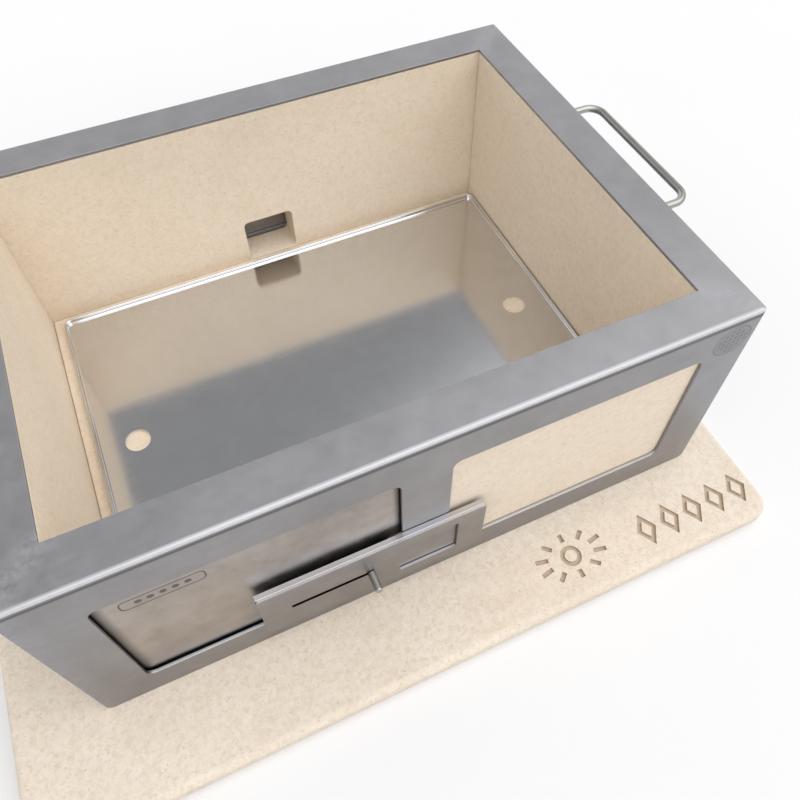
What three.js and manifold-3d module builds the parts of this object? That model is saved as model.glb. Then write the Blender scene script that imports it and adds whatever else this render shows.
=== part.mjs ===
// Tabletop fire box: a folded stainless case lined with refractory slabs, standing on a stone base board.
// Millimetres, +Z up. X runs along the case, -Y is its front with the large windows.
// The origin is on the table, under the middle of the base board.

import * as THREE from 'three';
import { mergeVertices } from 'three/addons/utils/BufferGeometryUtils.js';
import Module from 'manifold-3d';

const wasm = await Module();
wasm.setup();

// Driving dimensions
const GAP = 0.3;                 // clearance kept between neighbouring pieces
const HAIR = 0.2;                // clearance inside the thin vent guides
const SHEET = 2;                 // thickness of the case's stainless sheet

const BOARD_THICK = 15;
const BOARD_CORNER = 13.5;       // corner radius seen from above
const BOARD_EDGE = 5.5;          // rounding of the board's long edges
const MARGIN_LEFT = 54;          // board showing on each side of the case
const MARGIN_RIGHT = 32;
const MARGIN_FRONT = 59;
const MARGIN_BACK = 32;

const CASE_LENGTH = 400;
const CASE_DEPTH = 307;
const CASE_HEIGHT = 156.5;
const RIM_WIDTH = 26;            // inward flange that covers the top of the stone walls
const BEND = 2.6;                // outer radius of the rim's fold at the front
const SHARP_BEND = 1.2;          // the same fold on the back and end panels
const LOWER_CORNER = 4;          // bevel on the bottom corners of each panel

const FLOOR_TOP = 26;            // top of the stone floor above the case's underside
const WALL_BEVEL = 1.2;          // on the outer top edge of each stone wall

const WINDOW_LOW = 24.5;
const WINDOW_HIGH = 126.7;
const WINDOW_INNER = 14.5;       // half the width of the mullion between the two windows
const WINDOW_OUTER = 169.5;
const WINDOW_CORNER = 5.5;

const BACKING_RECESS = 3.1;      // the steel plate behind the left window, below the front face
const BACKING_THICK = 1.5;
const BACKING_LEFT = -176;
const BACKING_RIGHT = -7;
const BACKING_LOW = 13;
const BACKING_HIGH = 135;
const BACKING_NOTCH_X = -23;     // its lower right corner is notched clear of the air vent
const BACKING_NOTCH_Z = 63.9;

const VENT_HEIGHT = 46.75;       // middle of the air vent, front and back
const PANEL_VENT = [40, 36];     // opening through the case's sheet
const STONE_VENT = [38, 37];     // opening through the stone wall, down to the stone floor
const STONE_VENT_HEIGHT = 44.8;
const STONE_VENT_CORNER = 4;

const REGULATOR_PLATE = [137, 49, 1.6];
const REGULATOR_LEFT = -101.2;    // plate's left end, from the middle of the vent
const REGULATOR_STANDOFF = 3.4;  // depth of the guide that the shutter slides in
const REGULATOR_WINDOW = [37, 31.5];
const REGULATOR_CORNERS = [1.5, 0.8];  // radii of the plate's and its window's corners
const RAIL_HEIGHT = 4.6;
const SHUTTER_LEFT = -56;
const SHUTTER_RIGHT = 23.5;
const SLOT_LEFT = -84;
const SLOT_RIGHT = -35;
const SLOT_HEIGHT = 3;
const KNOB_X = -36.5;
const KNOB_RADIUS = 2.4;
const KNOB_LENGTH = 12.2;
const SHANK_RADIUS = 1.2;

const HANDLE_ROD = 2.5;          // radius of the handle's rod
const HANDLE_HEIGHT = 144;
const HANDLE_HALF = 52.5;        // half the distance between the legs
const HANDLE_Y = -2.5;           // its middle, a little in front of the case's
const HANDLE_REACH = 26;         // from the case to the grip's centre line
const HANDLE_BEND = 10;

const TRAY_LENGTH = 339;
const TRAY_WIDTH = 245;
const TRAY_SHEET = 1.5;
const TRAY_LIP = 3.0;            // upturned edge above the tray's plate
const TRAY_CORNER = 5;
const TRAY_X = 3.5;
const TRAY_Y = -2.3;
const TRAY_HOLE = 8.4;           // radius of the two lifting holes
const TRAY_HOLE_X = 143;         // each side of the tray's middle

// Derived places
const BOARD_LENGTH = MARGIN_LEFT + CASE_LENGTH + MARGIN_RIGHT;
const BOARD_DEPTH = MARGIN_FRONT + CASE_DEPTH + MARGIN_BACK;
const CASE_X = (MARGIN_LEFT - MARGIN_RIGHT) / 2;
const CASE_Y = (MARGIN_FRONT - MARGIN_BACK) / 2;
const CASE_Z = BOARD_THICK + GAP;
const FRONT = -CASE_DEPTH / 2;
const LINER_LENGTH = CASE_LENGTH - 2 * (SHEET + GAP);
const LINER_DEPTH = CASE_DEPTH - 2 * (SHEET + GAP);
const LINER_TOP = CASE_HEIGHT - SHEET - GAP;
const LINER_LOW = SHEET + GAP;
const FIREBOX_LENGTH = CASE_LENGTH - 2 * RIM_WIDTH;
const FIREBOX_DEPTH = CASE_DEPTH - 2 * RIM_WIDTH;

// Materials
const steel = (roughness, color = 0x9a9ca2) =>
  new THREE.MeshStandardMaterial({ color, roughness, metalness: 1 });
const stone = (color) => new THREE.MeshStandardMaterial({ color, roughness: 0.9, metalness: 0 });
const CASE_STEEL = 0.38;
const TRAY_STEEL = 0.18;
const BOARD_STONE = 0xe3d5bd;
const LINER_STONE = 0xe2d2b8;

// Solids

function toSolid(geometry) {
  const bare = geometry.clone();
  bare.deleteAttribute('normal');
  bare.deleteAttribute('uv');
  const merged = mergeVertices(bare, 1e-4);
  return new wasm.Manifold(new wasm.Mesh({
    numProp: 3,
    vertProperties: new Float32Array(merged.attributes.position.array),
    triVerts: new Uint32Array(merged.index.array),
  }));
}

function toGeometry(solid) {
  const { numProp, vertProperties, triVerts } = solid.getMesh();
  const positions = new Float32Array((vertProperties.length / numProp) * 3);
  for (let i = 0; i < positions.length / 3; i += 1) {
    for (let axis = 0; axis < 3; axis += 1) {
      positions[3 * i + axis] = vertProperties[numProp * i + axis];
    }
  }
  const geometry = new THREE.BufferGeometry();
  geometry.setAttribute('position', new THREE.BufferAttribute(positions, 3));
  geometry.setIndex(new THREE.BufferAttribute(new Uint32Array(triVerts), 1));
  geometry.computeVertexNormals();
  return geometry;
}

function piece(name, geometry, material) {
  const mesh = new THREE.Mesh(geometry, material);
  mesh.name = name;
  return mesh;
}

// A block between two corners
function block([x0, y0, z0], [x1, y1, z1]) {
  const geometry = new THREE.BoxGeometry(x1 - x0, y1 - y0, z1 - z0);
  return geometry.translate((x0 + x1) / 2, (y0 + y1) / 2, (z0 + z1) / 2);
}

function polygon(points) {
  return new THREE.Shape(points.map(([x, y]) => new THREE.Vector2(x, y)));
}

function roundedRectangle(x0, y0, x1, y1, radius) {
  const shape = new THREE.Shape();
  shape.moveTo(x0 + radius, y0);
  shape.lineTo(x1 - radius, y0);
  shape.absarc(x1 - radius, y0 + radius, radius, -Math.PI / 2, 0);
  shape.lineTo(x1, y1 - radius);
  shape.absarc(x1 - radius, y1 - radius, radius, 0, Math.PI / 2);
  shape.lineTo(x0 + radius, y1);
  shape.absarc(x0 + radius, y1 - radius, radius, Math.PI / 2, Math.PI);
  shape.lineTo(x0, y0 + radius);
  shape.absarc(x0 + radius, y0 + radius, radius, Math.PI, 1.5 * Math.PI);
  return shape;
}

// A plan outline standing from z0 to z1
function standing(shape, z0, z1, curveSegments = 5) {
  const options = { depth: z1 - z0, bevelEnabled: false, curveSegments };
  return new THREE.ExtrudeGeometry(shape, options).translate(0, 0, z0);
}

// An outline drawn in x and z, running from y0 to y1
function facing(shape, y0, y1, curveSegments = 5) {
  const options = { depth: y1 - y0, bevelEnabled: false, curveSegments };
  return new THREE.ExtrudeGeometry(shape, options).rotateX(Math.PI / 2).translate(0, y1, 0);
}

// An outline drawn in y and z, running along x with its middle at x = 0
function running(shape, length) {
  const options = { depth: length, bevelEnabled: false, curveSegments: 5 };
  const geometry = new THREE.ExtrudeGeometry(shape, options);
  return geometry.rotateX(Math.PI / 2).rotateZ(Math.PI / 2).translate(-length / 2, 0, 0);
}

// Base board

function baseBoard() {
  const shape = roundedRectangle(
    -BOARD_LENGTH / 2, -BOARD_DEPTH / 2, BOARD_LENGTH / 2, BOARD_DEPTH / 2, BOARD_CORNER);
  const geometry = new THREE.ExtrudeGeometry(shape, {
    depth: BOARD_THICK - 2 * BOARD_EDGE,
    bevelThickness: BOARD_EDGE,
    bevelSize: BOARD_EDGE,
    bevelOffset: -BOARD_EDGE,
    bevelSegments: 5,
    curveSegments: 6,
  });
  return piece('base_board', geometry.translate(0, 0, BOARD_EDGE), stone(BOARD_STONE));
}

// Case panels: an upright sheet folded inward into the rim, mitred at both ends.
// The outer face is at y = 0 and the case lies on the +y side.

function panelSection(bend) {
  const shape = new THREE.Shape();
  shape.moveTo(0, 0);
  shape.lineTo(SHEET, 0);
  if (bend > SHEET) {
    shape.lineTo(SHEET, CASE_HEIGHT - bend);
    shape.absarc(bend, CASE_HEIGHT - bend, bend - SHEET, Math.PI, Math.PI / 2, true);
  } else {
    shape.lineTo(SHEET, CASE_HEIGHT - SHEET);
  }
  shape.lineTo(RIM_WIDTH, CASE_HEIGHT - SHEET);
  shape.lineTo(RIM_WIDTH, CASE_HEIGHT);
  shape.lineTo(bend, CASE_HEIGHT);
  shape.absarc(bend, CASE_HEIGHT - bend, bend, Math.PI / 2, Math.PI, false);
  return shape;
}

function foldedPanel(length, bend) {
  const fold = running(panelSection(bend), length);
  const end = length / 2 - GAP * Math.SQRT1_2;
  const reach = RIM_WIDTH + 1;
  const mitre = standing(
    polygon([[-end, 0], [end, 0], [end - reach, reach], [reach - end, reach]]), -1, CASE_HEIGHT + 1);
  const half = length / 2;
  const outline = facing(polygon([
    [LOWER_CORNER - half, 0],
    [half - LOWER_CORNER, 0],
    [half, LOWER_CORNER],
    [half, CASE_HEIGHT + 1],
    [-half, CASE_HEIGHT + 1],
    [-half, LOWER_CORNER],
  ]), -1, RIM_WIDTH + 1);
  return toSolid(fold).intersect(toSolid(mitre)).intersect(toSolid(outline));
}

function ventCutter([width, height], middle, corner, y0, y1) {
  const low = middle - height / 2;
  const high = middle + height / 2;
  return toSolid(facing(roundedRectangle(-width / 2, low, width / 2, high, corner), y0, y1));
}

function windowCutter(side) {
  const x0 = side < 0 ? -WINDOW_OUTER : WINDOW_INNER;
  const x1 = side < 0 ? -WINDOW_INNER : WINDOW_OUTER;
  return toSolid(facing(roundedRectangle(x0, WINDOW_LOW, x1, WINDOW_HIGH, WINDOW_CORNER), -1, SHEET + 1));
}

function frontPanel() {
  const solid = foldedPanel(CASE_LENGTH, BEND)
    .subtract(windowCutter(-1))
    .subtract(windowCutter(1))
    .subtract(ventCutter(PANEL_VENT, VENT_HEIGHT, 1, -1, SHEET + 1));
  const mesh = piece('front_panel', toGeometry(solid), steel(CASE_STEEL));
  mesh.position.set(0, FRONT, 0);
  return mesh;
}

function backPanel() {
  const solid = foldedPanel(CASE_LENGTH, SHARP_BEND)
    .subtract(ventCutter(PANEL_VENT, VENT_HEIGHT, 1, -1, SHEET + 1));
  const mesh = piece('back_panel', toGeometry(solid), steel(CASE_STEEL));
  mesh.position.set(0, -FRONT, 0);
  mesh.rotation.z = Math.PI;
  return mesh;
}

function endPanel(name, side) {
  const mesh = piece(name, toGeometry(foldedPanel(CASE_DEPTH, SHARP_BEND)), steel(CASE_STEEL));
  mesh.position.set(side * CASE_LENGTH / 2, 0, 0);
  mesh.rotation.z = side * Math.PI / 2;
  return mesh;
}

function bottomPlate() {
  const plate = block(
    [-LINER_LENGTH / 2, -LINER_DEPTH / 2, 0], [LINER_LENGTH / 2, LINER_DEPTH / 2, SHEET]);
  return piece('bottom_plate', plate, steel(CASE_STEEL));
}

// Stone liner: a floor slab between four wall slabs, the long walls running the full length

function stoneFloor() {
  const x = FIREBOX_LENGTH / 2 - GAP;
  const y = FIREBOX_DEPTH / 2 - GAP;
  return piece('stone_floor', block([-x, -y, LINER_LOW], [x, y, FLOOR_TOP]), stone(LINER_STONE));
}

// A wall slab's section, its outer top edge bevelled to clear the inside of the rim's fold
function wallSection() {
  const outer = SHEET + GAP;
  return polygon([
    [outer, LINER_LOW],
    [RIM_WIDTH, LINER_LOW],
    [RIM_WIDTH, LINER_TOP],
    [outer + WALL_BEVEL, LINER_TOP],
    [outer, LINER_TOP - WALL_BEVEL],
  ]);
}

function longWall() {
  const end = LINER_LENGTH / 2;
  const bevelledEnds = facing(polygon([
    [-end, 0],
    [end, 0],
    [end, LINER_TOP - WALL_BEVEL],
    [end - WALL_BEVEL, LINER_TOP],
    [WALL_BEVEL - end, LINER_TOP],
    [-end, LINER_TOP - WALL_BEVEL],
  ]), 0, RIM_WIDTH + 1);
  return toSolid(running(wallSection(), LINER_LENGTH))
    .intersect(toSolid(bevelledEnds))
    .subtract(ventCutter(STONE_VENT, STONE_VENT_HEIGHT, STONE_VENT_CORNER, 0, RIM_WIDTH + 1));
}

// The plate behind the left window, grown by a margin
function backingOutline(grow) {
  return polygon([
    [BACKING_LEFT - grow, BACKING_LOW - grow],
    [BACKING_NOTCH_X + grow, BACKING_LOW - grow],
    [BACKING_NOTCH_X + grow, BACKING_NOTCH_Z - grow],
    [BACKING_RIGHT + grow, BACKING_NOTCH_Z - grow],
    [BACKING_RIGHT + grow, BACKING_HIGH + grow],
    [BACKING_LEFT - grow, BACKING_HIGH + grow],
  ]);
}

function frontWall() {
  const pocketDepth = BACKING_RECESS + BACKING_THICK + GAP;
  const pocket = toSolid(facing(backingOutline(1), 0, pocketDepth));
  const mesh = piece('stone_wall_front', toGeometry(longWall().subtract(pocket)), stone(LINER_STONE));
  mesh.position.set(0, FRONT, 0);
  return mesh;
}

function backWall() {
  const mesh = piece('stone_wall_back', toGeometry(longWall()), stone(LINER_STONE));
  mesh.position.set(0, -FRONT, 0);
  mesh.rotation.z = Math.PI;
  return mesh;
}

function endWall(name, side) {
  const geometry = running(wallSection(), FIREBOX_DEPTH - 2 * GAP);
  const mesh = piece(name, geometry, stone(LINER_STONE));
  mesh.position.x = side * CASE_LENGTH / 2;
  mesh.rotation.z = side * Math.PI / 2;
  return mesh;
}

function windowBackingPlate() {
  const y0 = FRONT + BACKING_RECESS;
  const geometry = facing(backingOutline(0), y0, y0 + BACKING_THICK);
  return piece('window_backing_plate', geometry, steel(CASE_STEEL, 0x8f8a86));
}

// Air regulator: a slotted plate on two rails, with a shutter sliding behind it.
// Drawn about the middle of the vent, with the case's face at y = 0 and the outside at -y.

function regulatorPlate() {
  const [length, height, thick] = REGULATOR_PLATE;
  const [windowWidth, windowHeight] = REGULATOR_WINDOW;
  const [plateCorner, windowCorner] = REGULATOR_CORNERS;
  const shape = roundedRectangle(
    REGULATOR_LEFT, -height / 2, REGULATOR_LEFT + length, height / 2, plateCorner);
  shape.holes.push(roundedRectangle(
    -windowWidth / 2, -windowHeight / 2, windowWidth / 2, windowHeight / 2, windowCorner));
  shape.holes.push(roundedRectangle(
    SLOT_LEFT, -SLOT_HEIGHT / 2, SLOT_RIGHT, SLOT_HEIGHT / 2, SLOT_HEIGHT / 2 - 0.01));
  return facing(shape, -REGULATOR_STANDOFF - thick, -REGULATOR_STANDOFF, 4);
}

function regulatorRail(side) {
  const [length, height] = REGULATOR_PLATE;
  const outer = height / 2;
  const inner = outer - RAIL_HEIGHT;
  const z0 = side < 0 ? -outer : inner;
  return block(
    [REGULATOR_LEFT, GAP - REGULATOR_STANDOFF, z0],
    [REGULATOR_LEFT + length, -GAP, z0 + RAIL_HEIGHT]);
}

function shutter() {
  const z = REGULATOR_PLATE[1] / 2 - RAIL_HEIGHT - GAP;
  return block(
    [SHUTTER_LEFT, HAIR - REGULATOR_STANDOFF + GAP / 2, -z], [SHUTTER_RIGHT, -HAIR - GAP / 2, z]);
}

// A thin shank through the slot and a thicker knob outside the plate
function shutterKnob() {
  const shankFoot = REGULATOR_STANDOFF - HAIR - GAP / 2 + GAP;
  const knobFoot = REGULATOR_STANDOFF + REGULATOR_PLATE[2] + GAP;
  const tip = knobFoot + KNOB_LENGTH;
  const roundTip = 0.9;
  const outline = [
    new THREE.Vector2(0, shankFoot),
    new THREE.Vector2(SHANK_RADIUS, shankFoot),
    new THREE.Vector2(SHANK_RADIUS, knobFoot),
    new THREE.Vector2(KNOB_RADIUS, knobFoot),
  ];
  for (let step = 0; step <= 3; step += 1) {
    const angle = (Math.PI / 2) * (step / 3);
    outline.push(new THREE.Vector2(
      KNOB_RADIUS - roundTip * (1 - Math.cos(angle)),
      tip - roundTip * (1 - Math.sin(angle))));
  }
  outline.push(new THREE.Vector2(0, tip));
  const geometry = new THREE.LatheGeometry(outline, 20);
  return geometry.rotateX(Math.PI).translate(KNOB_X, 0, 0);
}

function regulator(end, placement) {
  const group = new THREE.Group();
  group.position.set(0, placement * FRONT, VENT_HEIGHT);
  group.rotation.z = placement > 0 ? 0 : Math.PI;
  group.add(piece(`${end}_regulator_plate`, regulatorPlate(), steel(CASE_STEEL)));
  group.add(piece(`${end}_regulator_top_rail`, regulatorRail(1), steel(CASE_STEEL)));
  group.add(piece(`${end}_regulator_bottom_rail`, regulatorRail(-1), steel(CASE_STEEL)));
  group.add(piece(`${end}_shutter`, shutter(), steel(CASE_STEEL)));
  group.add(piece(`${end}_shutter_knob`, shutterKnob(), steel(0.3, 0xa5a29a)));
  return group;
}

// Handles: one bent rod at each end of the case

function quarterBend(from, corner, to) {
  const pull = 0.5523;
  const lean = (end) => end.clone().lerp(corner, pull);
  return new THREE.CubicBezierCurve3(from, lean(from), lean(to), to);
}

function handle(name, side) {
  const foot = CASE_LENGTH / 2 + GAP;
  const grip = CASE_LENGTH / 2 + HANDLE_REACH;
  const bendStart = grip - HANDLE_BEND;
  const straight = HANDLE_HALF - HANDLE_BEND;
  const at = (x, y) => new THREE.Vector3(x, y, 0);
  const path = new THREE.CurvePath();
  path.add(new THREE.LineCurve3(at(foot, -HANDLE_HALF), at(bendStart, -HANDLE_HALF)));
  path.add(quarterBend(at(bendStart, -HANDLE_HALF), at(grip, -HANDLE_HALF), at(grip, -straight)));
  path.add(new THREE.LineCurve3(at(grip, -straight), at(grip, straight)));
  path.add(quarterBend(at(grip, straight), at(grip, HANDLE_HALF), at(bendStart, HANDLE_HALF)));
  path.add(new THREE.LineCurve3(at(bendStart, HANDLE_HALF), at(foot, HANDLE_HALF)));
  const section = new THREE.Shape();
  section.absarc(0, 0, HANDLE_ROD, 0, 2 * Math.PI);
  const rod = new THREE.ExtrudeGeometry(section, { extrudePath: path, steps: 56, curveSegments: 7 });
  const mesh = piece(name, rod, steel(0.3));
  mesh.position.set(0, HANDLE_Y, HANDLE_HEIGHT);
  mesh.rotation.z = side < 0 ? Math.PI : 0;
  return mesh;
}

// Charcoal tray: a flat plate with a low upturned edge and two lifting holes

function charcoalTray() {
  const x = TRAY_LENGTH / 2;
  const y = TRAY_WIDTH / 2;
  const low = FLOOR_TOP + GAP;
  const plateTop = low + TRAY_SHEET;
  const outside = standing(roundedRectangle(-x, -y, x, y, TRAY_CORNER), low, plateTop + TRAY_LIP);
  const inside = standing(roundedRectangle(
    TRAY_SHEET - x, TRAY_SHEET - y, x - TRAY_SHEET, y - TRAY_SHEET, TRAY_CORNER - TRAY_SHEET),
  plateTop, plateTop + TRAY_LIP + 1);
  let solid = toSolid(outside).subtract(toSolid(inside));
  for (const side of [-1, 1]) {
    const hole = new THREE.CylinderGeometry(TRAY_HOLE, TRAY_HOLE, 4 * TRAY_SHEET, 32);
    hole.rotateX(Math.PI / 2).translate(side * TRAY_HOLE_X, 0, low);
    solid = solid.subtract(toSolid(hole));
  }
  const mesh = piece('charcoal_tray', toGeometry(solid), steel(TRAY_STEEL));
  mesh.position.set(TRAY_X, TRAY_Y, 0);
  return mesh;
}

// The object

const fireBox = new THREE.Group();
fireBox.position.set(CASE_X, CASE_Y, CASE_Z);
fireBox.add(frontPanel(), backPanel());
fireBox.add(endPanel('left_end_panel', -1), endPanel('right_end_panel', 1));
fireBox.add(bottomPlate(), stoneFloor(), frontWall(), backWall());
fireBox.add(endWall('stone_wall_left', -1), endWall('stone_wall_right', 1));
fireBox.add(windowBackingPlate());
fireBox.add(regulator('front', 1), regulator('back', -1));
fireBox.add(handle('left_handle', -1), handle('right_handle', 1));
fireBox.add(charcoalTray());

const group = new THREE.Group();
group.add(baseBoard(), fireBox);
group.updateMatrixWorld(true);

export default group;
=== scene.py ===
import math

import bmesh
import bpy
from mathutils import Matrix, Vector


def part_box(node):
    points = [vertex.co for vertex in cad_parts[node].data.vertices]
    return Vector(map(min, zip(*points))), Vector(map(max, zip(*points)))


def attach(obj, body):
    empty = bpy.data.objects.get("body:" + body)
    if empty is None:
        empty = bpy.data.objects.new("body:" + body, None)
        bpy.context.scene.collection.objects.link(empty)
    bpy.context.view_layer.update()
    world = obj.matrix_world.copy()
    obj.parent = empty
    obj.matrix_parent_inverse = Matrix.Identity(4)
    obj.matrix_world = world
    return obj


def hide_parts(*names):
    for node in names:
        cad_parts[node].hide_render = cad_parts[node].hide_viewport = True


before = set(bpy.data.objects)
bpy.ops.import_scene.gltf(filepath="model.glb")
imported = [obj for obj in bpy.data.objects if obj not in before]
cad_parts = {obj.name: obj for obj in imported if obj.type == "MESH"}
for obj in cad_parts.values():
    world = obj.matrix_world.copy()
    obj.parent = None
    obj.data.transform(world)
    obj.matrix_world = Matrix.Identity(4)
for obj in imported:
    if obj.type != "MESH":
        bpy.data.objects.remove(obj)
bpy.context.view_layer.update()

# A stainless tabletop fire box with a stone lining, standing on a stone board.
# Lengths are metres in the part's own frame: origin under the board's middle, front at -Y.

MM = 0.001
BOARD_LOW, BOARD_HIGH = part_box("base_board")
FRONT_LOW, FRONT_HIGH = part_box("front_panel")
CASE_LOW = Vector((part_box("left_end_panel")[0].x, FRONT_LOW.y, FRONT_LOW.z))
CASE_HIGH = Vector((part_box("right_end_panel")[1].x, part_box("back_panel")[1].y, FRONT_HIGH.z))
CASE_MIDDLE = (CASE_LOW + CASE_HIGH) / 2
TRAY_LOW, TRAY_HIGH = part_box("charcoal_tray")

# Sheet metal
SHEET = 2 * MM
RIM = 26 * MM
BEND = 2.6 * MM                  # the rim's fold along the front
SHARP_BEND = 1.2 * MM            # the same fold on the other three sides
LIP = 0.35 * MM                  # rounding of every cut sheet edge
UPRIGHT_CORNER = 1.6 * MM        # ground corner between two panels
LOWER_CORNER = 4 * MM
WINDOW_LOW = 24.5 * MM
WINDOW_HIGH = 126.7 * MM
WINDOW_INNER = 14.5 * MM
WINDOW_OUTER = 169.5 * MM
WINDOW_CORNER = 5.5 * MM
VENT_HEIGHT = 46.75 * MM
VENT_HALF = (20 * MM, 18 * MM)
SLOT_REACH = 1.7 * MM            # a regulator slot's faces lie within this of its middle line
SLOT_ENDS = (36.2 * MM, 84.2 * MM)   # and between these distances from the case's middle

# Stone
BOARD_CORNER = 13.5 * MM
BOARD_EDGE = 5.5 * MM
STONE_EDGE = 0.9 * MM
GROOVE_WIDTH = 3.0 * MM
GROOVE_DEPTH = 2.0 * MM

# Tray
TRAY_SHEET = 1.5 * MM
TRAY_CORNER = 5 * MM
TRAY_BEND = 3 * MM
TRAY_HOLE = 8.4 * MM
TRAY_HOLE_X = 143 * MM

# Handles
ROD = 2.5 * MM
ROD_BEND = 10 * MM
COLLAR = 1.0 * MM                # weld fillet where a leg meets the case

# Etched marks, placed from the case's own edges
DISC_FROM_RIGHT = 15.9 * MM
DISC_HEIGHT = 137.2 * MM
DISC = 11.7 * MM
FRAME_LEFT_OF_MIDDLE = 137 * MM
FRAME_HEIGHT = 112.8 * MM

# Colours of the painted highlight on faces that look up and of the painted shade inside the slots
UPWARD_HIGHLIGHT = (0.85, 0.85, 0.88)
SLOT_SHADE_BLACK = (0.012, 0.011, 0.01)

# Grain of the rolling marks: stretched this much along each axis
ALONG_X = (35, 1500, 1500)
ALONG_Y = (1500, 35, 1500)


# ---------------------------------------------------------------- materials

class Graph:
    """A material and short calls that add nodes to it."""

    def __init__(self, name):
        self.material = bpy.data.materials.new(name)
        self.material.use_nodes = True
        self.tree = self.material.node_tree
        self.shader = self.tree.nodes["Principled BSDF"]
        self.place = self.node("ShaderNodeTexCoord").outputs["Object"]

    def node(self, kind, **settings):
        made = self.tree.nodes.new(kind)
        for key, value in settings.items():
            setattr(made, key, value)
        return made

    def feed(self, socket, value):
        if isinstance(value, bpy.types.NodeSocket):
            self.tree.links.new(value, socket)
        else:
            socket.default_value = value

    def math(self, operation, a, b=0.0, clamp=False):
        made = self.node("ShaderNodeMath", operation=operation, use_clamp=clamp)
        self.feed(made.inputs[0], a)
        self.feed(made.inputs[1], b)
        return made.outputs[0]

    def apart(self, value, middle):
        """How far a value is from a middle, either way."""
        return self.math("ABSOLUTE", self.math("SUBTRACT", value, middle))

    def axes(self):
        made = self.node("ShaderNodeSeparateXYZ")
        self.feed(made.inputs[0], self.place)
        return made.outputs[0], made.outputs[1], made.outputs[2]

    def stretched(self, scale, shift=(0, 0, 0)):
        made = self.node("ShaderNodeMapping")
        self.feed(made.inputs["Vector"], self.place)
        made.inputs["Scale"].default_value = scale
        made.inputs["Location"].default_value = shift
        return made.outputs[0]

    def noise(self, scale, detail=4.0, rough=0.55, vector=None, distort=0.0):
        made = self.node("ShaderNodeTexNoise")
        self.feed(made.inputs["Vector"], self.place if vector is None else vector)
        made.inputs["Scale"].default_value = scale
        made.inputs["Detail"].default_value = detail
        made.inputs["Roughness"].default_value = rough
        made.inputs["Distortion"].default_value = distort
        return made.outputs["Fac"]

    def cells(self, scale, vector):
        made = self.node("ShaderNodeTexVoronoi", feature="F1")
        self.feed(made.inputs["Vector"], vector)
        made.inputs["Scale"].default_value = scale
        return made

    def spread(self, value, low, high, to_low=0.0, to_high=1.0):
        made = self.node("ShaderNodeMapRange", clamp=True)
        self.feed(made.inputs["Value"], value)
        made.inputs["From Min"].default_value = low
        made.inputs["From Max"].default_value = high
        made.inputs["To Min"].default_value = to_low
        made.inputs["To Max"].default_value = to_high
        return made.outputs[0]

    def mix(self, factor, a, b):
        made = self.node("ShaderNodeMix", data_type="RGBA", blend_type="MIX")
        self.feed(made.inputs["Factor"], factor)
        self.feed(made.inputs["A"], a if isinstance(a, bpy.types.NodeSocket) else (*a, 1))
        self.feed(made.inputs["B"], b if isinstance(b, bpy.types.NodeSocket) else (*b, 1))
        return made.outputs["Result"]

    def bump(self, height, strength, distance):
        made = self.node("ShaderNodeBump")
        made.inputs["Strength"].default_value = strength
        made.inputs["Distance"].default_value = distance
        self.feed(made.inputs["Height"], height)
        return made.outputs[0]

    def finish(self, color, roughness, normal, **constants):
        self.feed(self.shader.inputs["Base Color"], color)
        self.feed(self.shader.inputs["Roughness"], roughness)
        self.feed(self.shader.inputs["Normal"], normal)
        for key, value in constants.items():
            self.shader.inputs[key.replace("_", " ")].default_value = value
        return self.material


def scaled(color, factor):
    return tuple(channel * factor for channel in color)


def steel_surface(graph, tint, rough, cloudiness, grain):
    """Cloudy mill finish with fine rolling marks: colour, roughness and bump."""
    broad = graph.noise(14, 5, 0.6, distort=0.6)
    cloud = graph.noise(62, 6, 0.66, distort=0.3)
    fine = graph.noise(900, 3, 0.6)
    streaks = graph.noise(1, 4, 0.6, vector=graph.stretched(grain))
    dust = graph.noise(420, 2, 0.5, vector=graph.stretched((1, 1, 1), (3, 1, 7)))
    specks = graph.spread(dust, 0.70, 0.78)
    tone = graph.math("ADD", graph.spread(cloud, 0.3, 0.7), graph.spread(broad, 0.3, 0.7))
    tone = graph.math("MULTIPLY", tone, 0.5)
    dark, light = scaled(tint, 1 - 0.5 * cloudiness), scaled(tint, 1 + 0.35 * cloudiness)
    color = graph.mix(tone, dark, light)
    color = graph.mix(graph.math("MULTIPLY", specks, 0.25), color, scaled(tint, 0.55))
    change = graph.math("MULTIPLY", graph.math("SUBTRACT", cloud, 0.5), 0.45 * cloudiness)
    change = graph.math("ADD", change, graph.math("MULTIPLY", graph.math("SUBTRACT", streaks, 0.5), 0.12))
    roughness = graph.math("ADD", change, rough, clamp=True)
    height = graph.math("ADD", graph.math("MULTIPLY", streaks, 0.7), graph.math("MULTIPLY", fine, 0.3))
    normal = graph.bump(height, 0.10, 0.05 * MM)
    return color, roughness, normal


def steel(name, tint, rough, cloudiness=0.35, grain=ALONG_X, upward_highlight=0.0):
    """Sheet steel; given an upward highlight share, faces that look up get that much painted highlight
    and the slot painted shade.
    """
    graph = Graph(name)
    color, roughness, normal = steel_surface(graph, tint, rough, cloudiness, grain)
    if upward_highlight:
        # painted highlight on the faces that look up
        color = graph.mix(graph.math("MULTIPLY", upward(graph), upward_highlight), color, UPWARD_HIGHLIGHT)
        # painted shade: the faces inside the slot drawn black
        color = graph.mix(in_slot(graph), color, SLOT_SHADE_BLACK)
    return graph.finish(color, roughness, normal, Metallic=1.0)


def in_slot(graph):
    """1 on the faces inside the regulator plates' slots, which are painted in shade."""
    x, _, z = graph.axes()
    off_height = graph.apart(z, CASE_LOW.z + VENT_HEIGHT)
    off_middle = graph.apart(x, CASE_MIDDLE.x)
    inside = graph.spread(off_height, SLOT_REACH, SLOT_REACH + 0.25 * MM, 1, 0)
    inside = graph.math("MULTIPLY", inside, graph.math("GREATER_THAN", off_middle, SLOT_ENDS[0]))
    return graph.math("MULTIPLY", inside, graph.math("LESS_THAN", off_middle, SLOT_ENDS[1]))


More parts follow.
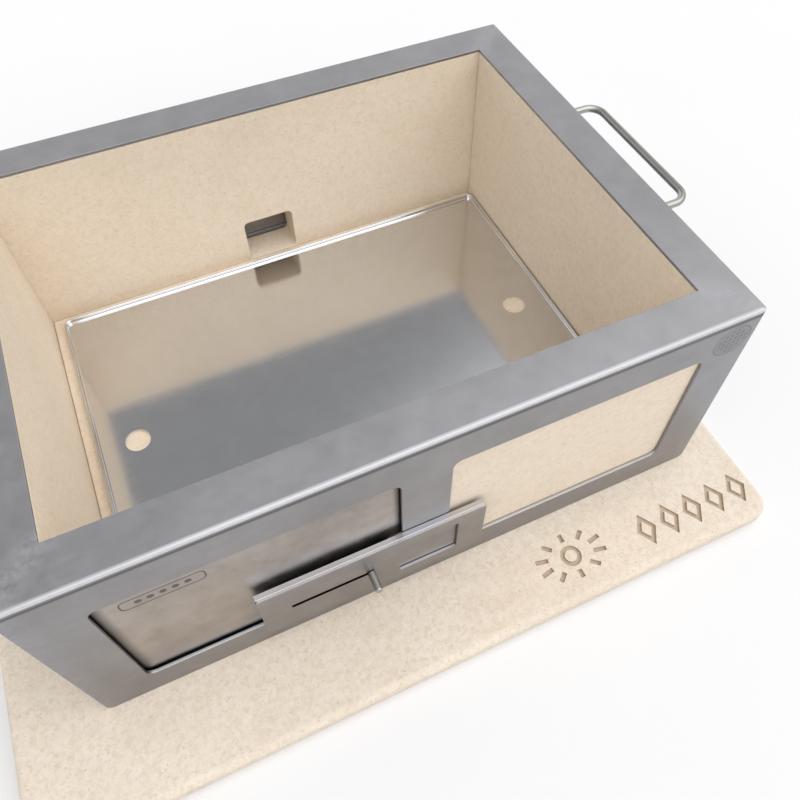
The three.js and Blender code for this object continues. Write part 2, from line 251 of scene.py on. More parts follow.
def upward(graph):
    """1 on faces that look up, 0 on upright ones."""
    made = graph.node("ShaderNodeSeparateXYZ")
    graph.feed(made.inputs[0], graph.node("ShaderNodeTexCoord").outputs["Normal"])
    return graph.spread(made.outputs[2], 0.5, 0.85)


def near_line(graph, value, line, width):
    """1 where value is line, fading to 0 at width from it."""
    return graph.spread(graph.apart(value, line), 0, width, 1, 0)


def distance_xz(graph, x0, z0):
    """Distance from a point, seen from the front."""
    x, _, z = graph.axes()
    dx = graph.math("SUBTRACT", x, x0)
    dz = graph.math("SUBTRACT", z, z0)
    square = graph.math("ADD", graph.math("MULTIPLY", dx, dx), graph.math("MULTIPLY", dz, dz))
    return graph.math("SQRT", square)


def case_steel():
    """The case's sheet: cloudy steel, duller where the mitres were welded, with an etched disc."""
    graph = Graph("case_steel")
    tint = (0.335, 0.332, 0.345)
    color, roughness, normal = steel_surface(graph, tint, 0.46, 0.38, ALONG_X)
    x, y, z = graph.axes()
    top = CASE_HIGH.z

    weld = mitre_weld(graph, x, y)
    color = graph.mix(graph.math("MULTIPLY", weld, 0.55), color, (0.46, 0.46, 0.49))
    roughness = graph.math("ADD", roughness, graph.math("MULTIPLY", weld, 0.12), clamp=True)

    # painted sheen: the faces at the very top of the rim drawn lighter
    top_sheen = graph.spread(z, top - 0.2 * MM, top - 0.05 * MM, 0, 0.2)
    color = graph.mix(top_sheen, color, (0.60, 0.60, 0.63))

    # along the front fold: a painted highlight band, and a painted dark reflection under it
    at_front = graph.spread(y, CASE_LOW.y + 0.8 * BEND, CASE_LOW.y + BEND, 1, 0)
    above = graph.spread(z, top - 2.4 * MM, top - 1.9 * MM)
    below = graph.spread(z, top - 1.0 * MM, top - 0.1 * MM, 1, 0)
    fold_highlight = graph.math("MULTIPLY", graph.math("MULTIPLY", above, below), at_front)
    color = graph.mix(graph.math("MULTIPLY", fold_highlight, 0.65), color, (0.93, 0.93, 0.96))
    fold_dark_reflection = graph.math("MULTIPLY", near_line(graph, z, top - 4.6 * MM, 2.0 * MM), at_front)
    color = graph.mix(graph.math("MULTIPLY", fold_dark_reflection, 0.85), color, scaled(tint, 0.2))

    # painted highlight on the cut-outs' sills, which look up below the rim
    under_rim = graph.spread(z, top - 12 * MM, top - 8 * MM, 1, 0)
    sills = graph.math("MULTIPLY", upward(graph), under_rim)
    color = graph.mix(graph.math("MULTIPLY", sills, 0.5), color, UPWARD_HIGHLIGHT)

    etched = etched_disc(graph, CASE_HIGH.x - DISC_FROM_RIGHT, CASE_LOW.z + DISC_HEIGHT)
    color = graph.mix(graph.math("MULTIPLY", etched, 0.6), color, (0.16, 0.16, 0.17))
    roughness = graph.math("ADD", roughness, graph.math("MULTIPLY", etched, 0.2), clamp=True)
    return graph.finish(color, roughness, normal, Metallic=1.0)


def mitre_weld(graph, x, y):
    """1 along the rim's four mitres, scuffed and wandering, fading to 0 beside them."""
    half_x = (CASE_HIGH.x - CASE_LOW.x) / 2
    half_y = (CASE_HIGH.y - CASE_LOW.y) / 2
    from_end = graph.math("SUBTRACT", graph.apart(x, CASE_MIDDLE.x), half_x)
    from_side = graph.math("SUBTRACT", graph.apart(y, CASE_MIDDLE.y), half_y)
    mitre = graph.math("SUBTRACT", from_end, from_side)
    wander = graph.math("MULTIPLY", graph.math("SUBTRACT", graph.noise(90, 4), 0.5), 14 * MM)
    weld = near_line(graph, graph.math("ADD", mitre, wander), 0.0, 15 * MM)
    scuff = graph.noise(300, 4, 0.7, vector=graph.stretched((1, 1, 1), (5, 2, 1)))
    return graph.math("MULTIPLY", weld, graph.spread(scuff, 0.35, 0.6))


def etched_disc(graph, x0, z0):
    """A plain etched disc on the front face: a fine outline round a dotted field."""
    away = distance_xz(graph, x0, z0)
    x, y, z = graph.axes()
    pitch = 3.4 * MM
    disc = graph.spread(away, DISC - 0.2 * MM, DISC + 0.2 * MM, 0.22, 0)
    outline = near_line(graph, away, DISC, 0.55 * MM)
    dots = 1.0
    for value, start in ((x, x0), (z, z0)):
        turns = graph.math("MULTIPLY", graph.math("SUBTRACT", value, start), math.pi / pitch)
        dots = graph.math("MULTIPLY", dots, graph.math("ABSOLUTE", graph.math("SINE", turns)))
    field = graph.spread(away, 9 * MM, 9.6 * MM, 1, 0)
    dots = graph.math("MULTIPLY", graph.spread(dots, 0.5, 0.65, 0, 0.75), field)
    ink = graph.math("MAXIMUM", graph.math("MAXIMUM", disc, dots), outline)
    return graph.math("MULTIPLY", ink, near_line(graph, y, CASE_LOW.y, 0.6 * MM))


def backing_steel():
    """The plate behind the left window: cloudy, with painted shade along its borders, etched near its
    top.
    """
    graph = Graph("backing_steel")
    color, roughness, normal = steel_surface(graph, (0.41, 0.385, 0.37), 0.36, 0.75, ALONG_X)
    x, _, z = graph.axes()
    # painted shade along the window's bottom edge and both sides
    border_shade = near_line(graph, z, CASE_LOW.z + WINDOW_LOW, 6 * MM)
    for side, width in ((WINDOW_OUTER, 6 * MM), (WINDOW_INNER, 4 * MM)):
        border_shade = graph.math("MAXIMUM", border_shade, near_line(graph, x, CASE_MIDDLE.x - side, width))
    color = graph.mix(graph.math("MULTIPLY", border_shade, 0.9), color, (0.03, 0.028, 0.026))
    etched = framed_dots(graph, CASE_MIDDLE.x - FRAME_LEFT_OF_MIDDLE, CASE_LOW.z + FRAME_HEIGHT)
    color = graph.mix(graph.math("MULTIPLY", etched, 0.8), color, (0.13, 0.12, 0.12))
    roughness = graph.math("ADD", roughness, graph.math("MULTIPLY", etched, 0.25), clamp=True)
    return graph.finish(color, roughness, normal, Metallic=1.0)


def framed_dots(graph, middle_x, middle_z):
    """1 on a row of dots and on the rounded frame round it."""
    x, _, z = graph.axes()
    half_x, half_z, round_off = 20.5 * MM, 4.6 * MM, 3 * MM
    line, dot_radius, half_pitch, half_row = 0.45 * MM, 1.8 * MM, 3 * MM, 15 * MM
    squares = []
    for value, middle, half in ((x, middle_x, half_x), (z, middle_z, half_z)):
        over = graph.math("SUBTRACT", graph.apart(value, middle), half - round_off)
        over = graph.math("MAXIMUM", over, 0.0)
        squares.append(graph.math("MULTIPLY", over, over))
    away = graph.math("SQRT", graph.math("ADD", *squares))
    frame_line = graph.math("LESS_THAN", graph.apart(away, round_off), line)
    along = graph.math("WRAP", graph.math("SUBTRACT", x, middle_x), half_pitch)
    along.node.inputs[2].default_value = -half_pitch
    up = graph.math("POWER", graph.math("SUBTRACT", z, middle_z), 2.0)
    from_dot = graph.math("SQRT", graph.math("ADD", graph.math("MULTIPLY", along, along), up))
    dots = graph.math("LESS_THAN", from_dot, dot_radius)
    dots = graph.math("MULTIPLY", dots, graph.math("LESS_THAN", graph.apart(x, middle_x), half_row))
    return graph.math("MAXIMUM", frame_line, dots)


def stone(name, tint, flake, flake_share, edge_tint, mottling, grooved=False):
    """Pressed mineral board: cream, with flakes, pores and a fine sandy surface.

    A grooved one is darker inside its grooves, the others near the case's front face.
    """
    graph = Graph(name)
    broad = graph.noise(9, 4, 0.5)
    grainy = graph.noise(1100, 3, 0.65)
    patch = graph.noise(120, 5, 0.6, distort=0.4)
    color = graph.mix(graph.spread(broad, 0.35, 0.65), scaled(tint, 0.965), scaled(tint, 1.02))
    color = graph.mix(graph.spread(patch, 0.35, 0.7, 0.0, 0.30), color, edge_tint)
    color = graph.mix(graph.spread(grainy, 0.35, 0.7, 0.0, 0.22), color, scaled(tint, 0.78))
    mottle = graph.noise(300, 5, 0.72, distort=0.7)
    color = graph.mix(graph.spread(mottle, 0.46, 0.66, 0, mottling), color, scaled(edge_tint, 0.80))
    color = graph.mix(graph.spread(mottle, 0.42, 0.30, 0, 0.4 * mottling), color, (0.92, 0.85, 0.76))
    smudge = graph.noise(32, 5, 0.6, distort=0.5)
    color = graph.mix(graph.spread(smudge, 0.50, 0.72, 0, 0.5 * mottling), color, scaled(edge_tint, 0.86))
    if grooved:
        color = graph.mix(graph.math("MULTIPLY", in_groove(graph), 0.5), color, (0.38, 0.28, 0.17))
    else:
        _, y, _ = graph.axes()
        outer = graph.spread(y, CASE_LOW.y + 6 * MM, CASE_LOW.y + 10 * MM, 0.13, 0)
        color = graph.mix(outer, color, (0.40, 0.34, 0.30))
    squashed = graph.stretched((1, 1.5, 1.2), (0.7, 0.2, 0.4))
    flakes = graph.cells(620, squashed)
    chosen = graph.math("GREATER_THAN", flakes.outputs["Color"], 1 - flake_share)
    near = graph.spread(flakes.outputs["Distance"], 0.18, 0.42, 1, 0)
    visible = graph.math("MULTIPLY", chosen, near)
    color = graph.mix(graph.math("MULTIPLY", visible, 0.55), color, flake)
    pits = graph.noise(520, 2, 0.5, vector=graph.stretched((1, 1, 1), (2, 9, 4)))
    pores = graph.spread(pits, 0.70, 0.76)
    color = graph.mix(graph.math("MULTIPLY", pores, 0.35), color, scaled(flake, 0.7))
    height = graph.math("SUBTRACT", grainy, graph.math("MULTIPLY", pores, 0.8))
    height = graph.math("ADD", height, graph.math("MULTIPLY", patch, 0.6))
    normal = graph.bump(height, 0.35, 0.16 * MM)
    roughness = graph.spread(grainy, 0.3, 0.7, 0.82, 0.95)
    return graph.finish(color, roughness, normal, Specular_IOR_Level=0.25)


def in_groove(graph):
    """1 inside the engraved grooves: below the board's top and clear of its rounded edges."""
    x, y, z = graph.axes()
    inside = graph.spread(z, BOARD_HIGH.z - 1.2 * MM, BOARD_HIGH.z - 0.2 * MM, 1, 0)
    for value, low, high in ((x, BOARD_LOW.x, BOARD_HIGH.x), (y, BOARD_LOW.y, BOARD_HIGH.y)):
        clear = graph.math("SUBTRACT", (high - low) / 2, graph.apart(value, (low + high) / 2))
        clear = graph.spread(clear, BOARD_EDGE, BOARD_EDGE + 0.5 * MM)
        inside = graph.math("MULTIPLY", inside, clear)
    return graph.math("MULTIPLY", inside, graph.spread(z, BOARD_LOW.z + 1 * MM, BOARD_LOW.z + 2 * MM))


# ---------------------------------------------------------------- mesh work

def link(name, mesh):
    made = bpy.data.objects.new(name, mesh)
    bpy.context.scene.collection.objects.link(made)
    return made


def from_bmesh(name, work):
    bmesh.ops.recalc_face_normals(work, faces=work.faces)
    mesh = bpy.data.meshes.new(name)
    work.to_mesh(mesh)
    work.free()
    return link(name, mesh)


def settle(made):
    """Replaces an object's mesh by what its modifiers make of it."""
    graph = bpy.context.evaluated_depsgraph_get()
    graph.update()
    mesh = bpy.data.meshes.new_from_object(made.evaluated_get(graph))
    made.modifiers.clear()
    made.data = mesh


def smooth(made, angle):
    """Smooth shading that keeps every flat face flat up to its edge."""
    for polygon in made.data.polygons:
        polygon.use_smooth = True
    made.data.set_sharp_from_angle(angle=math.radians(angle))
    modifier = made.modifiers.new("flat faces first", "WEIGHTED_NORMAL")
    modifier.mode = "FACE_AREA"
    modifier.weight = 100
    modifier.keep_sharp = True
    settle(made)


def cut(made, cutters):
    for cutter in cutters:
        modifier = made.modifiers.new("cut", "BOOLEAN")
        modifier.operation = "DIFFERENCE"
        modifier.solver = "EXACT"
        modifier.object = cutter
    settle(made)
    for cutter in cutters:
        bpy.data.objects.remove(cutter)


def round_edges(made, width, segments):
    modifier = made.modifiers.new("round", "BEVEL")
    modifier.width = width
    modifier.segments = segments
    modifier.limit_method = "ANGLE"
    modifier.angle_limit = math.radians(35)
    modifier.use_clamp_overlap = True
    settle(made)
    smooth(made, 60)


def fit_out(made, body, slot, material, *nodes):
    """Gives a piece its material, the body it rides on and the CAD nodes it stands for."""
    made.data.materials.clear()
    made.data.materials.append(material)
    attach(made, body)
    if nodes:
        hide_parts(*nodes)
    return made


def arc(middle_x, middle_y, radius, start, end, steps):
    """Points on an arc, its angles in degrees."""
    points = []
    for step in range(steps + 1):
        angle = math.radians(start + (end - start) * step / steps)
        points.append((middle_x + radius * math.cos(angle), middle_y + radius * math.sin(angle)))
    return points


def rounded_outline(x0, y0, x1, y1, radius, steps=8):
    points = arc(x1 - radius, y0 + radius, radius, -90, 0, steps)
    points += arc(x1 - radius, y1 - radius, radius, 0, 90, steps)
    points += arc(x0 + radius, y1 - radius, radius, 90, 180, steps)
    points += arc(x0 + radius, y0 + radius, radius, 180, 270, steps)
    return points


def swept_round(name, low, high, profile, corner, steps):
    """Runs a profile of (inset, height) points round a rounded rectangle, capped at both ends."""
    work = bmesh.new()
    rings = []
    for inset, height in profile:
        outline = rounded_outline(
            low.x + inset, low.y + inset, high.x - inset, high.y - inset,
            max(corner - inset, 0.0), steps)
        rings.append([work.verts.new((x, y, height)) for x, y in outline])
    for lower, upper in zip(rings, rings[1:]):
        for k in range(len(lower)):
            after = (k + 1) % len(lower)
            work.faces.new((lower[k], lower[after], upper[after], upper[k]))
    work.faces.new(rings[0])
    work.faces.new(rings[-1])
    bmesh.ops.remove_doubles(work, verts=work.verts, dist=1e-7)
    bmesh.ops.dissolve_degenerate(work, dist=1e-7, edges=work.edges)
    return from_bmesh(name, work)


def prism(name, outline, place, depth):
    """A solid with the given outline; place turns an outline point and a depth into a point in space."""
    work = bmesh.new()
    near = [work.verts.new(place(a, b, 0.0)) for a, b in outline]
    far = [work.verts.new(place(a, b, depth)) for a, b in outline]
    work.faces.new(near)
    work.faces.new(far)
    for k in range(len(near)):
        after = (k + 1) % len(near)
        work.faces.new((near[k], near[after], far[after], far[k]))
    return from_bmesh(name, work)


def through_y(start):
    return lambda a, b, depth: (a, start + depth, b)


def through_z(start):
    return lambda a, b, depth: (a, b, start + depth)


def refined(node, name, width, segments=3):
    """A copy of a CAD node's mesh with its flat faces joined and its edges rounded."""
    made = link(name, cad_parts[node].data.copy())
    work = bmesh.new()
    work.from_mesh(made.data)
    bmesh.ops.remove_doubles(work, verts=work.verts, dist=1e-6)
    bmesh.ops.dissolve_limit(
        work, angle_limit=math.radians(1), verts=work.verts, edges=work.edges)
    work.to_mesh(made.data)
    work.free()
    round_edges(made, width, segments)
    return made


# ---------------------------------------------------------------- the case

def panel_profile(bend):
    """The folded sheet: up the outside, over the rim, and back down the inside."""
    low, high = CASE_LOW.z, CASE_HIGH.z
    edge = LIP
    inner = max(bend - SHEET, 0.0)
    points = arc(edge, low + edge, edge, 270, 180, 3)
    points += arc(bend, high - bend, bend, 180, 90, 10)
    points += arc(RIM - edge, high - edge, edge, 90, 0, 3)
    points += arc(RIM - edge, high - SHEET + edge, edge, 0, -90, 3)
    points += arc(SHEET + inner, high - SHEET - inner, inner, 90, 180, 6)
    points += arc(SHEET - edge, low + edge, edge, 0, -90, 3)
    return points


def folded_shell():
    """Runs the folded section round the case: the wide bend in front, the sharp one elsewhere."""
    steps = 6
    work = bmesh.new()
    rings = []
    for wide, sharp in zip(panel_profile(BEND), panel_profile(SHARP_BEND)):
        outlines = []
        for inset, _ in (wide, sharp):
            outlines.append(rounded_outline(
                CASE_LOW.x + inset, CASE_LOW.y + inset, CASE_HIGH.x - inset, CASE_HIGH.y - inset,
                max(UPRIGHT_CORNER - inset, 0.0), steps))
        ring = []
        for k, ends in enumerate(zip(*outlines)):
            corner, step = divmod(k, steps + 1)
            front_share = {0: 1 - step / steps, 3: step / steps}.get(corner, 0.0)
            at_front = Vector((*ends[0], wide[1]))
            elsewhere = Vector((*ends[1], sharp[1]))
            ring.append(work.verts.new(elsewhere.lerp(at_front, front_share)))
        rings.append(ring)
    for lower, upper in zip(rings, rings[1:] + rings[:1]):
        for k in range(len(lower)):
            after = (k + 1) % len(lower)
            work.faces.new((lower[k], lower[after], upper[after], upper[k]))
    bmesh.ops.remove_doubles(work, verts=work.verts, dist=1e-7)
    bmesh.ops.dissolve_degenerate(work, dist=1e-7, edges=work.edges)
    return from_bmesh("case_shell", work)


def window_cutters():
    cutters = []
    start = CASE_LOW.y - 5 * MM
    for side in (-1, 1):
        ends = sorted((side * WINDOW_INNER, side * WINDOW_OUTER))
        outline = rounded_outline(
            CASE_MIDDLE.x + ends[0], CASE_LOW.z + WINDOW_LOW,
            CASE_MIDDLE.x + ends[1], CASE_LOW.z + WINDOW_HIGH, WINDOW_CORNER)
        cutters.append(prism("window_cutter", outline, through_y(start), 5 * MM + 2 * SHEET))
    return cutters


def vent_cutters():
    cutters = []
    for start in (CASE_LOW.y - 5 * MM, CASE_HIGH.y - 2 * SHEET):
        half_x, half_z = VENT_HALF
        outline = rounded_outline(
            CASE_MIDDLE.x - half_x, CASE_LOW.z + VENT_HEIGHT - half_z,
            CASE_MIDDLE.x + half_x, CASE_LOW.z + VENT_HEIGHT + half_z, 1 * MM, 4)
        cutters.append(prism("vent_cutter", outline, through_y(start), 5 * MM + 2 * SHEET))
    return cutters


def corner_cutters():
    """Takes the bottom corners off the case, each with a tetrahedron set a little outside it."""
    cutters = []
    over = 1 * MM
    reach = LOWER_CORNER + 2 * over
    tips = [(-over, -over, -over), (reach, -over, -over), (-over, reach, -over), (-over, -over, reach)]
    for side_x, x in ((-1, CASE_LOW.x), (1, CASE_HIGH.x)):
        for side_y, y in ((-1, CASE_LOW.y), (1, CASE_HIGH.y)):
            work = bmesh.new()
            ends = []
            for in_x, in_y, up in tips:
                ends.append(work.verts.new((x - side_x * in_x, y - side_y * in_y, CASE_LOW.z + up)))
            for left_out in range(4):
                work.faces.new([end for k, end in enumerate(ends) if k != left_out])
            cutters.append(from_bmesh("corner_cutter", work))
    return cutters


def case_shell(material):
    shell = folded_shell()
    cut(shell, window_cutters() + vent_cutters() + corner_cutters())
    round_window_edges(shell)
    smooth(shell, 32)
    return fit_out(
        shell, "case", "case_steel", material,
        "front_panel", "back_panel", "left_end_panel", "right_end_panel")


def round_window_edges(shell):
    """Takes the sharpness off the front and back edges of the cut-outs."""
    work = bmesh.new()
    work.from_mesh(shell.data)
    planes = (CASE_LOW.y, CASE_LOW.y + SHEET, CASE_HIGH.y, CASE_HIGH.y - SHEET)
    least_turn = 1.2                 # radians; a square edge turns 1.57
    chosen = []
    for edge in work.edges:
        ends = [vert.co for vert in edge.verts]
        flush = any(all(abs(end.y - plane) < 1e-6 for end in ends) for plane in planes)
        inside = all(
            LOWER_CORNER < end.z - CASE_LOW.z < WINDOW_HIGH + 1 * MM
            and abs(end.x - CASE_MIDDLE.x) < WINDOW_OUTER + 1 * MM for end in ends)
        if flush and inside and len(edge.link_faces) == 2 and edge.calc_face_angle() > least_turn:
            chosen.append(edge)
    bmesh.ops.bevel(
        work, geom=chosen, offset=LIP, segments=2, affect="EDGES", profile=0.5, clamp_overlap=True)
    work.to_mesh(shell.data)
    work.free()


# ---------------------------------------------------------------- the board

def routed(points, closed=False):
    """A cutter along a line on the board's top: straight sides, flat bottom, square joints."""
    half, deep, above = GROOVE_WIDTH / 2, GROOVE_DEPTH, 1 * MM
    count = len(points)
    work = bmesh.new()
    rings = []
    for k, point in enumerate(points):
        here = Vector(point)
        before = Vector(points[k - 1]) if closed or k else here
        after = Vector(points[(k + 1) % count]) if closed or k < count - 1 else here
        into = (here - before).normalized()
        out = (after - here).normalized()
        along = (into + out).normalized()
        across = Vector((-along.y, along.x))
        narrowing = along.dot(out) if into.length and out.length else 1.0
        side = across * half / max(narrowing, 0.3)
        left, right = here - side, here + side
        ring = []
        for place, height in ((left, above), (left, -deep), (right, -deep), (right, above)):
            ring.append(work.verts.new((place.x, place.y, BOARD_HIGH.z + height)))
        rings.append(ring)
    pairs = list(zip(rings, rings[1:]))
    if closed:
        pairs.append((rings[-1], rings[0]))
    for one, other in pairs:
        for k in range(4):
            after = (k + 1) % 4
            work.faces.new((one[k], one[after], other[after], other[k]))
    if not closed:
        work.faces.new(rings[0])
        work.faces.new(rings[-1])
    return from_bmesh("routed", work)


def engraving():
    """A plain geometric border: a rayed ring and a row of lozenges."""
    ring_x = CASE_MIDDLE.x + 90 * MM
    ring_y = CASE_MIDDLE.y - 184.5 * MM
    ring_radius = 5.5 * MM
    rays, stretch, ray_start, ray_end = 10, 1.6, 10 * MM, 15.5 * MM
    row_x = CASE_MIDDLE.x + 145 * MM
    row_y = CASE_MIDDLE.y - 189.5 * MM
    lozenges, pitch, wide, tall = 5, 18.2 * MM, 5.4 * MM, 8.6 * MM

    cutters = [routed(arc(ring_x, ring_y, ring_radius, 0, 345, 23), True)]
    for ray in range(rays):
        angle = 2 * math.pi * (ray + 0.5) / rays
        across, up = stretch * math.cos(angle), math.sin(angle)
        cutters.append(routed([
            (ring_x + distance * across, ring_y + distance * up) for distance in (ray_start, ray_end)]))
    for lozenge in range(lozenges):
        x = row_x + pitch * lozenge
        corners = [(x - wide, row_y), (x, row_y - tall), (x + wide, row_y), (x, row_y + tall)]
        cutters.append(routed(corners, True))
    return cutters


def base_board(material):
    edge = BOARD_EDGE
    profile = arc(edge, BOARD_LOW.z + edge, edge, 270, 180, 8)
    profile += arc(edge, BOARD_HIGH.z - edge, edge, 180, 90, 8)
    board = swept_round("stone_board", BOARD_LOW, BOARD_HIGH, profile, BOARD_CORNER, 12)
    cut(board, engraving())
    smooth(board, 35)
    return fit_out(board, "board", "board_stone", material, "base_board")


# ---------------------------------------------------------------- tray, regulators, handles

def tray(material):
    bottom, top = TRAY_LOW.z, TRAY_HIGH.z
    inner = TRAY_BEND - TRAY_SHEET
    half = TRAY_SHEET / 2
    profile = arc(TRAY_BEND, bottom + TRAY_BEND, TRAY_BEND, 270, 180, 6)
    profile += arc(half, top - half, half, 180, 0, 8)
    profile += arc(TRAY_BEND, bottom + TRAY_BEND, inner, 180, 270, 6)
    made = swept_round("tray", TRAY_LOW, TRAY_HIGH, profile, TRAY_CORNER, 8)
    middle = (TRAY_LOW + TRAY_HIGH) / 2
    cutters = []
    for side in (-1, 1):
        outline = arc(middle.x + side * TRAY_HOLE_X, middle.y, TRAY_HOLE, 0, 354, 59)
        cutters.append(prism("hole_cutter", outline, through_z(bottom - 1 * MM), 4 * TRAY_SHEET))
    cut(made, cutters)
    smooth(made, 35)
    return fit_out(made, "tray", "tray_steel", material, "charcoal_tray")


def regulator(end, plate_steel, rod_steel):
    """The slotted plate on its two rails, the shutter behind it and the shutter's knob."""
    for part, width in (("plate", 0.25 * MM), ("top_rail", 0.1 * MM), ("bottom_rail", 0.1 * MM)):
        node = f"{end}_regulator_{part}"
        made = refined(node, f"{end}_vent_{part}", width, 2)
        if part != "plate":
            close_seam(made, f"{end}_regulator_plate")
        fit_out(made, "case", "regulator_steel", plate_steel, node)
    sliding = f"{end}_air_shutter"
    made = refined(f"{end}_shutter", f"{end}_vent_shutter", 0.15 * MM, 2)
    fit_out(made, sliding, "case_steel", plate_steel, f"{end}_shutter")
    fit_out(vent_knob(end), sliding, "rod_steel", rod_steel, f"{end}_shutter_knob")


def close_seam(rail, plate):
    """Brings a rail's outer face up to the plate that is welded on it."""
    low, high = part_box(plate)
    seam = high.y if high.y < CASE_MIDDLE.y else low.y
    gap, kept_share = 0.35 * MM, 0.05
    for vert in rail.data.vertices:
        if abs(vert.co.y - seam) < gap:
            vert.co.y = seam - (vert.co.y - seam) * kept_share


def vent_knob(end):
    """A turned pin: thin shank through the slot, thicker knob with a rounded tip."""
    low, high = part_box(f"{end}_shutter_knob")
    away = -1 if end == "front" else 1
    foot, tip = (high.y, low.y) if away < 0 else (low.y, high.y)
    x, z = (low.x + high.x) / 2, (low.z + high.z) / 2
    radius = (high.z - low.z) / 2
    shank = 1.2 * MM
    step_at = 1.95 * MM
    long = abs(tip - foot)
    nose, chamfer = 1.2 * MM, 0.3 * MM
    profile = [(0, 0), (shank, 0), (shank, step_at)]
    profile += [(radius - chamfer, step_at), (radius, step_at + chamfer)]
    profile += [(a, b) for b, a in arc(long - nose, radius - nose, nose, 90, 0, 6)]
    profile += [(0, long)]
    return lathe(f"{end}_vent_knob", profile, lambda r, t, d: (
        x + r * math.cos(t), foot + away * d, z + r * math.sin(t)))


def lathe(name, profile, place):
    """Turns (radius, distance) points; place puts a radius, an angle and a distance in space."""
    sides = 40
    work = bmesh.new()
    rings = []
    for radius, distance in profile:
        if radius < 1e-9:
            angles = [0.0]
        else:
            angles = [2 * math.pi * k / sides for k in range(sides)]
        rings.append([work.verts.new(place(radius, angle, distance)) for angle in angles])
    for lower, upper in zip(rings, rings[1:]):
        for k in range(sides):
            after = (k + 1) % sides
            corners = [lower[k % len(lower)], lower[after % len(lower)],
                       upper[after % len(upper)], upper[k % len(upper)]]
            work.faces.new(list(dict.fromkeys(corners)))
    made = from_bmesh(name, work)
    smooth(made, 35)
    return made


def handle_path(side, half):
    """The rod's centre line from one foot to the other, as (x, y)."""
    face = CASE_HIGH.x if side > 0 else CASE_LOW.x
    low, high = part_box("right_handle" if side > 0 else "left_handle")
    grip = high.x - ROD if side > 0 else low.x + ROD
    bend_x = grip - side * ROD_BEND
    turn = half - ROD_BEND
    middle = (low.y + high.y) / 2
    feet = [face + side * COLLAR * step / 3 for step in range(4)]
    points = [(x, middle - half) for x in feet]
    start, sweep = -90, 90 * side
    points += arc(bend_x, middle - turn, ROD_BEND, start, start + sweep, 12)
    points += arc(bend_x, middle + turn, ROD_BEND, start + sweep, start + 2 * sweep, 12)
    points += [(x, middle + half) for x in reversed(feet)]
    return points


def handle(name, side, material):
    """A bent rod with a small weld fillet at each foot."""
    node = "right_handle" if side > 0 else "left_handle"
    face = CASE_HIGH.x if side > 0 else CASE_LOW.x
    low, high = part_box(node)
    half = (high.y - low.y) / 2 - ROD
    height = (low.z + high.z) / 2
    path = handle_path(side, half)
    work = bmesh.new()
    rings = []
    sides = 28
    for k, (x, y) in enumerate(path):
        before = path[max(k - 1, 0)]
        after = path[min(k + 1, len(path) - 1)]
        along = Vector((after[0] - before[0], after[1] - before[1], 0)).normalized()
        out = Vector((along.y, -along.x, 0))
        foot = max(1 - abs(x - face) / COLLAR, 0)
        radius = ROD + COLLAR * (1 - math.sqrt(max(1 - foot * foot, 0)))
        ring = []
        for turn in range(sides):
            angle = 2 * math.pi * turn / sides
            offset = radius * math.cos(angle) * out + Vector((0, 0, radius * math.sin(angle)))
            ring.append(work.verts.new(Vector((x, y, height)) + offset))
        rings.append(ring)
    for lower, upper in zip(rings, rings[1:]):
        for k in range(sides):
            after = (k + 1) % sides
            work.faces.new((lower[k], lower[after], upper[after], upper[k]))
    work.faces.new(rings[0])
    work.faces.new(rings[-1])
    rod = from_bmesh(name, work)
    smooth(rod, 40)
    return fit_out(rod, "case", "rod_steel", material, node)


# ---------------------------------------------------------------- stage

def stage():
    """A plain pale floor, a hair below the board."""
    work = bmesh.new()
    reach, level = 4.0, -0.2 * MM
    corners = [(-reach, -reach), (reach, -reach), (reach, reach), (-reach, reach)]
    work.faces.new([work.verts.new((x, y, level)) for x, y in corners])
    floor = from_bmesh("floor", work)
    graph = Graph("floor_white")
    color = graph.mix(graph.noise(3, 3), (0.76, 0.76, 0.77), (0.79, 0.79, 0.795))
    normal = graph.bump(graph.noise(400, 2), 0.02, 0.1 * MM)
    floor.data.materials.append(graph.finish(color, 0.6, normal))


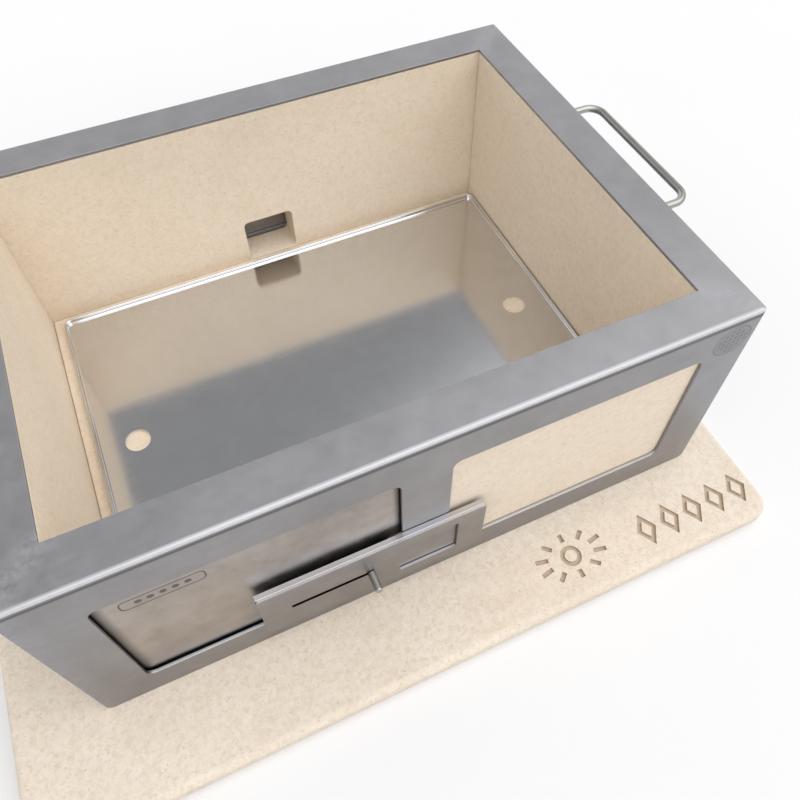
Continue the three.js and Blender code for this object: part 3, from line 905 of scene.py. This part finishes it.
def studio():
    """Soft studio light: a bank high on the front right, a backdrop low behind, weak fills elsewhere."""
    world = bpy.data.worlds.new("studio")
    bpy.context.scene.world = world
    world.use_nodes = True
    tree = world.node_tree

    def node(kind, **settings):
        made = tree.nodes.new(kind)
        for key, value in settings.items():
            setattr(made, key, value)
        return made

    def join(operation, a, b):
        made = node("ShaderNodeMath", operation=operation)
        for socket, value in zip(made.inputs, (a, b)):
            if isinstance(value, bpy.types.NodeSocket):
                tree.links.new(value, socket)
            else:
                socket.default_value = value
        return made.outputs[0]

    def fade(value, low, high, to_low, to_high):
        made = node("ShaderNodeMapRange", interpolation_type="SMOOTHSTEP")
        tree.links.new(value, made.inputs["Value"])
        made.inputs["From Min"].default_value = low
        made.inputs["From Max"].default_value = high
        made.inputs["To Min"].default_value = to_low
        made.inputs["To Max"].default_value = to_high
        return made.outputs[0]

    def towards(direction):
        made = node("ShaderNodeVectorMath", operation="DOT_PRODUCT")
        tree.links.new(place, made.inputs[0])
        made.inputs[1].default_value = Vector(direction).normalized()
        return made.outputs["Value"]

    # each light: how it grows towards its direction, then how it fades with height
    place = node("ShaderNodeTexCoord").outputs["Generated"]
    height = towards((0, 0, 1))
    bank = fade(towards((0.42, -0.50, 0.77)), 0.42, 0.84, 0, 1.85)
    bank = join("MULTIPLY", bank, fade(height, 0.12, 0.6, 0, 1))
    backdrop = fade(towards((0, 1, 0.1)), 0.3, 0.85, 0, 1.2)
    backdrop = join("MULTIPLY", backdrop, fade(height, 0.30, 0.55, 1, 0))
    side_fill = fade(height, 0.15, 0.35, 0, 0.27)
    side_fill = join("MULTIPLY", side_fill, fade(height, 0.42, 0.65, 1, 0))
    left_fill = fade(towards((-1, -0.1, 0.4)), 0.4, 0.95, 0, 0.34)
    total = fade(height, 0.02, 0.3, 0.18, 0.31)
    for light in (left_fill, side_fill, backdrop, bank):
        total = join("ADD", total, light)
    background = tree.nodes["Background"]
    background.inputs["Color"].default_value = (1, 1, 1, 1)
    tree.links.new(total, background.inputs["Strength"])


def camera():
    """The photograph's viewing angle, solved from the case's straight edges."""
    data = bpy.data.cameras.new("camera")
    data.sensor_width = 36
    data.lens = 34.05
    data.shift_x = -0.0133
    data.shift_y = -0.0238
    data.clip_start = 0.01
    made = bpy.data.objects.new("camera", data)
    bpy.context.scene.collection.objects.link(made)
    made.location = (-0.0729, -0.29983, 0.47737)
    made.rotation_euler = [math.radians(angle) for angle in (35.31, -0.093, -24.756)]
    bpy.context.scene.camera = made


# ---------------------------------------------------------------- the object

def build():
    """Makes every visible piece; the bottom plate, hidden from all sides, keeps its CAD mesh."""
    board_stone = stone(
        "board_stone", tint=(0.765, 0.675, 0.575), flake=(0.34, 0.23, 0.12), flake_share=0.16,
        edge_tint=(0.72, 0.60, 0.46), mottling=0.6, grooved=True)
    liner_stone = stone(
        "liner_stone", tint=(0.84, 0.73, 0.60), flake=(0.42, 0.30, 0.17), flake_share=0.08,
        edge_tint=(0.80, 0.68, 0.51), mottling=0.45)
    sheet_steel = case_steel()
    plate_steel = steel("regulator_steel", (0.33, 0.32, 0.325), 0.42, 0.45, upward_highlight=0.55)
    rod_steel = steel("rod_steel", (0.43, 0.425, 0.40), 0.36, 0.3)
    tray_steel = steel("tray_steel", (0.72, 0.73, 0.755), 0.12, 0.10)
    bottom_steel = steel("bottom_steel", (0.48, 0.48, 0.5), 0.4, grain=ALONG_Y)

    base_board(board_stone)
    case_shell(sheet_steel)
    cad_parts["bottom_plate"].data.materials.clear()
    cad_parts["bottom_plate"].data.materials.append(bottom_steel)
    for side in ("front", "back", "left", "right"):
        wall = refined(f"stone_wall_{side}", f"liner_{side}", STONE_EDGE)
        fit_out(wall, "case", "liner_stone", liner_stone, f"stone_wall_{side}")
    floor = refined("stone_floor", "liner_floor", STONE_EDGE)
    fit_out(floor, "case", "liner_stone", liner_stone, "stone_floor")
    backing = refined("window_backing_plate", "backing_plate", 0.25 * MM, 2)
    fit_out(backing, "case", "backing_steel", backing_steel(), "window_backing_plate")
    tray(tray_steel)
    for end in ("front", "back"):
        regulator(end, plate_steel, rod_steel)
    for name, side in (("left", -1), ("right", 1)):
        handle(f"{name}_rod_handle", side, rod_steel)


build()
stage()
studio()
camera()
bpy.context.scene.view_settings.view_transform = "Standard"
